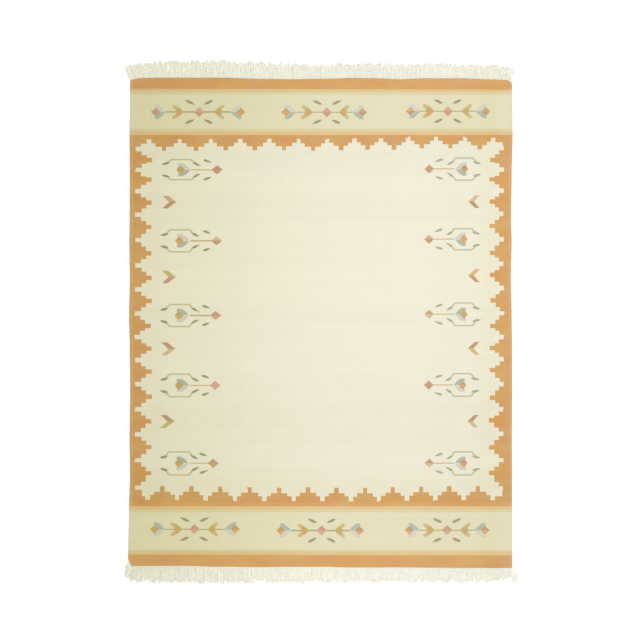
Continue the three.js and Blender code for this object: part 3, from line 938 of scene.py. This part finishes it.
tube = add(tree, "GeometryNodeCurveToMesh",
           {"Curve": arch, "Profile Curve": round_yarn, "Fill Caps": True}).outputs[0]
broad = add(tree, "GeometryNodeTransform",
            {"Geometry": tube, "Scale": (1, WRAP_BREADTH, 1)}).outputs[0]
print("an arch of", ARCH_POINTS, "rings with", YARN_SIDES, "sides each")

# %% The tree that wraps a cord: an arch at every pitch
WRAP_LEAN = (-0.12, 0.02)  # radians

curve = add(tree, "GeometryNodeMeshToCurve", {0: given["Geometry"]}).outputs[0]
stops = add(tree, "GeometryNodeCurveToPoints", {"Curve": curve, "Length": given["Pitch"]},
            mode="LENGTH")
facing = add(tree, "FunctionNodeAlignRotationToVector", {"Vector": stops.outputs["Tangent"]},
             axis="Y", pivot_axis="Z").outputs[0]
wraps = add(tree, "GeometryNodeInstanceOnPoints",
            {"Points": stops.outputs[0], "Instance": broad, "Rotation": facing}).outputs[0]
lean = add(tree, "ShaderNodeCombineXYZ",
           {2: random_between(tree, *WRAP_LEAN, given["Seed"])}).outputs[0]
leaning = add(tree, "GeometryNodeRotateInstances", {"Instances": wraps, "Rotation": lean})
close_tree(tree, leaning.outputs[0], selvedge_wool)

# %% Wrap the four cords
STEP = 12  # spacing of the points that a path is drawn through, in millimetres
FIRST_WRAP, LAST_WRAP = 4, 3  # how far inside the ends the paths start and stop


def along_side(side, from_side):
    """A path along one side of the rug, at the foot of a cord."""
    ys = np.arange(-HALF_LENGTH + FIRST_WRAP, HALF_LENGTH - LAST_WRAP, STEP)
    points = np.column_stack([np.full(len(ys), side * (HALF_WIDTH - from_side)), ys])
    height = upper_height(points) - CLOTH_THICKNESS - SELVEDGE_RISE
    return np.column_stack([cloth_plan(points) + SHIFT, height]) * MM


cords = [along_side(side, (cord + 0.5) * SELVEDGE_CORD)
         for side in (-1, 1) for cord in range(SELVEDGE_CORDS)]
selvedge = grow("selvedge_wraps", *paths_to_mesh(cords), {}, tree)

# %% Dye the wraps as the stripe that they end
# The paler yarn of the wraps, painted lighter to offset the shade on their steep sides, and how
# much of it they show
CORD_DYE_WITH_PAINTED_LIGHT, CORD_SHARE = np.append(linear((240, 233, 208)) / PHOTO_WHITE, 0.2), 0.3


def edge_yarn(y):
    """The yarn that reaches the side edge at a place along the rug, in millimetres."""
    for name, start, end in END_STRIPES:
        if start <= y < end:
            return name
    return "orange"


def give_yarn(piece, dyes):
    """Store the dye of each point, where the materials read it."""
    stored_dyes = piece.data.attributes.new("yarn", "FLOAT_COLOR", "POINT")
    stored_dyes.data.foreach_set("color", dyes.ravel())


along = np.array([vertex.co.y for vertex in selvedge.data.vertices]) / MM - SHIFT[1]
# painted light: the wraps are mixed towards a paler yarn to offset the shade on their sides
give_yarn(selvedge, np.array([DYES[edge_yarn(y)] * (1 - CORD_SHARE) + CORD_DYE_WITH_PAINTED_LIGHT * CORD_SHARE
                              for y in along]))
print("the wraps run from", along.min().round(), "to", along.max().round(), "mm")

# %% [markdown]
# ## Fringe
#
# The rug's own warps come out at both ends. First they are held by rows of twining, which make a
# firm cream band, then they hang free as a thick soft fringe, about 10 cm deep, its tips ragged and
# its corners leaning outwards. A particle system could draw it, but it would not export.
# Geometry Nodes copy each root point many times, give every copy its own length, side step and
# wave, draw a line for it, and give the line a round section.

# %% Roots of the locks, repeating the CAD model's rule
LOCKS_PER_END = 148
EDGE_POINTS = 600
REACH_JITTER, TIP_JITTER, SWAY = 9, 2.4, 10
SWAY_WAVES = [(597, 0.6, 0.8), (233, 0.4, 2.1)]  # length, share, phase
LEAN_SPAN = 110  # the lean of a corner fades out this far inside the side
REACH_COLUMNS = {1: 4, -1: 3}  # of the table of the ends
SCATTER = {1: (1000, 3000), -1: (2000, 4000)}  # numbers that start the drift and reach of each end


def scatter(number):
    """The repeatable scatter from -1 to 1 that the CAD model uses."""
    t = (number + 0x6D2B79F5) & 0xFFFFFFFF
    t = ((t ^ t >> 15) * (t | 1)) & 0xFFFFFFFF
    t ^= (t + (((t ^ t >> 7) * (t | 61)) & 0xFFFFFFFF)) & 0xFFFFFFFF
    return 2 * (t ^ t >> 14) / 4294967296 - 1


def lock_roots(end):
    """Place, reach and sideways drift of every lock at one end, in millimetres."""
    left, right = cloth_plan([(side * HALF_WIDTH, end * HALF_LENGTH) for side in (-1, 1)])[:, 0]
    xs = left + (np.arange(LOCKS_PER_END) + 0.5) * (right - left) / LOCKS_PER_END
    fine = np.linspace(-HALF_WIDTH, HALF_WIDTH, EDGE_POINTS)
    edge = cloth_plan(np.column_stack([fine, np.full(EDGE_POINTS, end * HALF_LENGTH)]))
    ys = np.interp(xs, edge[:, 0], edge[:, 1])
    reach = eased(END_DRIFT, REACH_COLUMNS[end], xs)
    drift = np.zeros(LOCKS_PER_END)
    for number, x in enumerate(xs):
        reach[number] += REACH_JITTER * scatter(SCATTER[end][1] + number)
        drift[number] = TIP_JITTER * scatter(SCATTER[end][0] + number)
        for length, share, phase in SWAY_WAVES:
            drift[number] += SWAY * share * math.sin(2 * math.pi * x / length + phase * end)
        for side, corner_end, *_, lean_out in CORNERS:
            if corner_end == end:
                pull = float(closeness(HALF_WIDTH - side * x, LEAN_SPAN))
                drift[number] += (side * lean_out - drift[number]) * pull
    return xs, ys, reach, drift


for end in (1, -1):
    _, _, reach, drift = lock_roots(end)
    print(f"end {end:+d}: reach {reach.min():.0f} to {reach.max():.0f} mm,",
          f"drift {drift.min():.0f} to {drift.max():.0f} mm")


# %% The tree that hangs a fringe: copies of each root
def store(tree, geometry, name, value):
    """The geometry with a value stored on each point."""
    return add(tree, "GeometryNodeStoreNamedAttribute",
               {"Geometry": geometry, "Name": name, "Value": value},
               data_type="FLOAT", domain="POINT").outputs[0]


def stored(tree, name):
    """The value stored under a name."""
    return add(tree, "GeometryNodeInputNamedAttribute", {"Name": name},
               data_type="FLOAT").outputs[0]


STRAND_POINTS = 9
SEED_STEP = 11.0  # from one kind of random number to the next

tree, given = new_tree("hang_fringe", Yarns=17, Direction=1.0, RootHalf=0.0085, TipHalf=0.0110,
                       YarnHalf=0.0016, Shortest=0.74, Longest=1.0, Wave=0.0030, Pile=0.0014,
                       Seed=5)
yarns = add(tree, "GeometryNodeDuplicateElements",
            {"Geometry": given["Geometry"], "Amount": given["Yarns"]}, domain="POINT").outputs[0]
number = tree.nodes.new("GeometryNodeInputIndex").outputs[0]
own_values = {"side": (-1.0, 1.0), "share": (given["Shortest"], given["Longest"]),
              "phase": (0.0, 2 * math.pi), "lift": (0.0, 1.0), "tone": (0.0, 1.0)}
for step, (name, span) in enumerate(own_values.items()):
    seed = calc(tree, "ADD", given["Seed"], step * SEED_STEP)
    yarns = store(tree, yarns, name, random_between(tree, *span, seed, number))
line = add(tree, "GeometryNodeCurvePrimitiveLine", {"Start": (0, 0, 0), "End": (0, 1, 0)})
line = add(tree, "GeometryNodeResampleCurve", {"Curve": line.outputs[0], "Count": STRAND_POINTS})
strands = add(tree, "GeometryNodeInstanceOnPoints",
              {"Points": yarns, "Instance": line.outputs[0]}).outputs[0]
strands = add(tree, "GeometryNodeRealizeInstances", {0: strands}).outputs[0]
print("each yarn draws its own", list(own_values))

# %% The tree that hangs a fringe: the way of each yarn
WAVE_TURN = 7.0  # how far along its wave a yarn gets, in radians
PILE_TURN, PILE_START = 2.5, 0.25  # the part of a sine that the fringe swells by, from root to tip
TIP_THINNING = 0.25

cotton = fibre_material("fringe_cotton", fuzz_across=700, fuzz_along=160, bump_distance=0.0002,
                        sheen=0.1, share=0.5)
t = tree.nodes.new("GeometryNodeSplineParameter").outputs["Factor"]  # 0 at the root, 1 at the tip
widening = calc(tree, "SUBTRACT", given["TipHalf"], given["RootHalf"])
half = calc(tree, "MULTIPLY_ADD", t, widening, given["RootHalf"])
wave_angle = calc(tree, "MULTIPLY_ADD", t, WAVE_TURN, stored(tree, "phase"))
wave = calc(tree, "MULTIPLY", calc(tree, "SINE", wave_angle),
            calc(tree, "MULTIPLY", t, given["Wave"]))
lean = calc(tree, "MULTIPLY", stored(tree, "drift"), calc(tree, "MULTIPLY", t, t))
sideways = calc(tree, "MULTIPLY_ADD", stored(tree, "side"), half, wave)
step_x = calc(tree, "ADD", sideways, lean)
length = calc(tree, "MULTIPLY", stored(tree, "reach"), stored(tree, "share"))
outwards = calc(tree, "MULTIPLY", calc(tree, "MULTIPLY", length, t), given["Direction"])
step_y = calc(tree, "SUBTRACT", outwards, t)
swell_angle = calc(tree, "MULTIPLY_ADD", t, PILE_TURN, PILE_START)
swell = calc(tree, "MULTIPLY", calc(tree, "SINE", swell_angle), given["Pile"])
layer = calc(tree, "MULTIPLY", stored(tree, "lift"), swell)
step = add(tree, "ShaderNodeCombineXYZ", {0: step_x, 1: step_y, 2: layer}).outputs[0]
strands = add(tree, "GeometryNodeSetPosition", {"Geometry": strands, "Offset": step}).outputs[0]
ring = add(tree, "GeometryNodeCurvePrimitiveCircle",
           {"Resolution": YARN_SIDES, "Radius": given["YarnHalf"]}).outputs[0]
thinning = calc(tree, "MULTIPLY_ADD", t, -TIP_THINNING, 1.0)
hanging = add(tree, "GeometryNodeCurveToMesh", {"Curve": strands, "Profile Curve": ring,
                                                "Scale": thinning, "Fill Caps": True}).outputs[0]
close_tree(tree, hanging, cotton)

# %% [markdown]
# The cotton is undyed, so its yarns differ only a little, and the far end is darker to the right
# while the near end is darker at the left. Round the worn corners some warps come out of the side
# edge, so a few further locks are rooted there. They could be in the CAD model too, but single
# yarns and tufts are looks, and the CAD fringe keeps to the row of its end.

# %% Cotton, a little darker in places
COTTON_DARK, COTTON_LIGHT = (linear(c) for c in ((227, 226, 210), (239, 238, 224)))
COTTON_TONE_ACROSS = {1: (1.0, 0.955, 0.93), -1: (0.955, 1.01, 0.99)}  # tone at the left, middle, right


def colour_cotton(piece, end, tones):
    """Give each point its shade, from 0 for the darker to 1 for the lighter."""
    across = np.array([vertex.co.x for vertex in piece.data.vertices])
    # darker towards the right at the far end and towards the left at the near end
    tone_across = np.interp(across, (-HALF_WIDTH * MM, 0, HALF_WIDTH * MM), COTTON_TONE_ACROSS[end])
    colour = (COTTON_DARK + (COTTON_LIGHT - COTTON_DARK) * tones[:, None]) * tone_across[:, None]
    give_yarn(piece, np.column_stack([colour, np.zeros(len(colour))]))


print("cotton from", COTTON_DARK.round(2), "to", COTTON_LIGHT.round(2))

# %% Hang both fringes
ENDS = {1: "far", -1: "near"}
ROOT_OUT, ROOT_HEIGHT = 1.5, 1.4
FRINGE_SEEDS = {1: 5, -1: 6}

# Further locks round the worn corners of each end: side, how far inside the end the lock is rooted
# on the side edge, reach, sideways drift
CORNER_LOCKS = {
    1: [(-1, 3, 92, -12), (-1, 5, 86, -26), (1, 3, 92, -10), (1, 6, 86, -2), (1, 12, 74, 4)],
    -1: [(-1, 4, 86, -26), (-1, 14, 82, -30), (-1, 24, 70, -26), (-1, 34, 52, -20),
         (1, 3, 100, 6), (1, 3, 96, 18), (1, 5, 80, 30)],
}

fringes = {}
for end, place in ENDS.items():
    xs, ys, reach, drift = lock_roots(end)
    sides, inside, more_reach, more_drift = np.array(CORNER_LOCKS[end], float).T
    more = cloth_plan(np.column_stack([sides * HALF_WIDTH, end * (HALF_LENGTH - inside)]))
    xs, ys = np.append(xs, more[:, 0]), np.append(ys, more[:, 1])
    reach, drift = np.append(reach, more_reach), np.append(drift, more_drift)
    heights = np.full(len(xs), ROOT_HEIGHT)
    roots = np.column_stack([xs + SHIFT[0], ys + SHIFT[1] + end * ROOT_OUT, heights]) * MM
    fringe = grow(f"fringe_{place}_yarns", roots.tolist(), [],
                  {"reach": reach * MM, "drift": drift * MM}, tree,
                  Direction=float(end), Seed=FRINGE_SEEDS[end])
    tones = np.zeros(len(fringe.data.vertices))
    fringe.data.attributes["tone"].data.foreach_get("value", tones)
    colour_cotton(fringe, end, tones)
    fringes[end] = fringe

# %% [markdown]
# The twined band between the cloth and the fringe is seven rows of slanting stitches. Neighbouring
# rows slant opposite ways, so together they look like small chevrons. A bump on a flat band would
# do from afar, but not for the edge that one looks at closest. So one stitch, a grain of a few
# faces, is laid down at every pitch along each row.

# %% The tree that lays twining stitches
STITCH_SEGMENTS, STITCH_RINGS = 6, 4
SLANT_JITTER = 0.1  # radians

tree, given = new_tree("lay_twining", Pitch=0.0070, Long=0.0046, Broad=0.0021, Thick=0.0015,
                       Slant=0.45, Seed=8)
curve = add(tree, "GeometryNodeMeshToCurve", {0: given["Geometry"]}).outputs[0]
stops = add(tree, "GeometryNodeCurveToPoints", {"Curve": curve, "Length": given["Pitch"]},
            mode="LENGTH")
grain = add(tree, "GeometryNodeMeshUVSphere",
            {"Segments": STITCH_SEGMENTS, "Rings": STITCH_RINGS, "Radius": 1.0}).outputs[0]
size = add(tree, "ShaderNodeCombineXYZ",
           {0: given["Long"], 1: given["Broad"], 2: given["Thick"]}).outputs[0]
stitch = add(tree, "GeometryNodeTransform", {"Geometry": grain, "Scale": size}).outputs[0]
laid = add(tree, "GeometryNodeInstanceOnPoints",
           {"Points": stops.outputs[0], "Instance": stitch}).outputs[0]
slant = calc(tree, "MULTIPLY", given["Slant"], stored(tree, "way"))
jitter = random_between(tree, -SLANT_JITTER, SLANT_JITTER, given["Seed"])
slant = add(tree, "ShaderNodeCombineXYZ", {2: calc(tree, "ADD", slant, jitter)}).outputs[0]
slanted = add(tree, "GeometryNodeRotateInstances", {"Instances": laid, "Rotation": slant})
close_tree(tree, slanted.outputs[0], cotton)

# %% Twine the roots of both fringes, in millimetres
TWINE_ROWS = 7
TWINE_DEPTH = 5.6  # one row of twining
TWINE_HEIGHT = 3.8
TWINE_START, TWINE_OVERHANG = 0.8, 8  # how far outside the cloth it starts, and goes on at corners
TWINE_TONE = 0.9
TWINE_SEEDS = {1: 8, -1: 9}

twinings = {}
for end, place in ENDS.items():
    xs, ys, _, _ = lock_roots(end)
    edge = np.column_stack([xs, ys])
    edge = np.vstack([edge[0] - (TWINE_OVERHANG, 0), edge, edge[-1] + (TWINE_OVERHANG, 0)])
    rows, ways = [], []
    for row in range(TWINE_ROWS):
        away = end * (TWINE_DEPTH * (row + 0.5) + TWINE_START)
        heights = np.full(len(edge), TWINE_HEIGHT)
        rows.append(np.column_stack([edge + SHIFT + (0, away), heights]) * MM)
        ways += [1.0 if row % 2 else -1.0] * len(edge)
    twining = grow(f"twining_{place}", *paths_to_mesh(rows), {"way": ways}, tree,
                   Seed=TWINE_SEEDS[end])
    colour_cotton(twining, end, np.full(len(twining.data.vertices), TWINE_TONE))
    twinings[end] = twining

# %% [markdown]
# ## Attaching the pieces
#
# The cloth stands for the CAD cloth and each fringe for its CAD fringe, so the CAD solids are
# hidden. The selvedge wraps and the twining only add to them. Every piece is attached to one body,
# and the whole is one sheet of cloth laid on the floor.

# %% Pieces and their body
cotton_pieces = [*fringes.values(), *twinings.values()]
for slot, pieces in (("woven_wool", [cloth, selvedge]), ("cotton_fringe", cotton_pieces)):
    for piece in pieces:
        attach(piece, "root")
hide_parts("woven_rug")
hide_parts("fringe_far_end")
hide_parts("fringe_near_end")
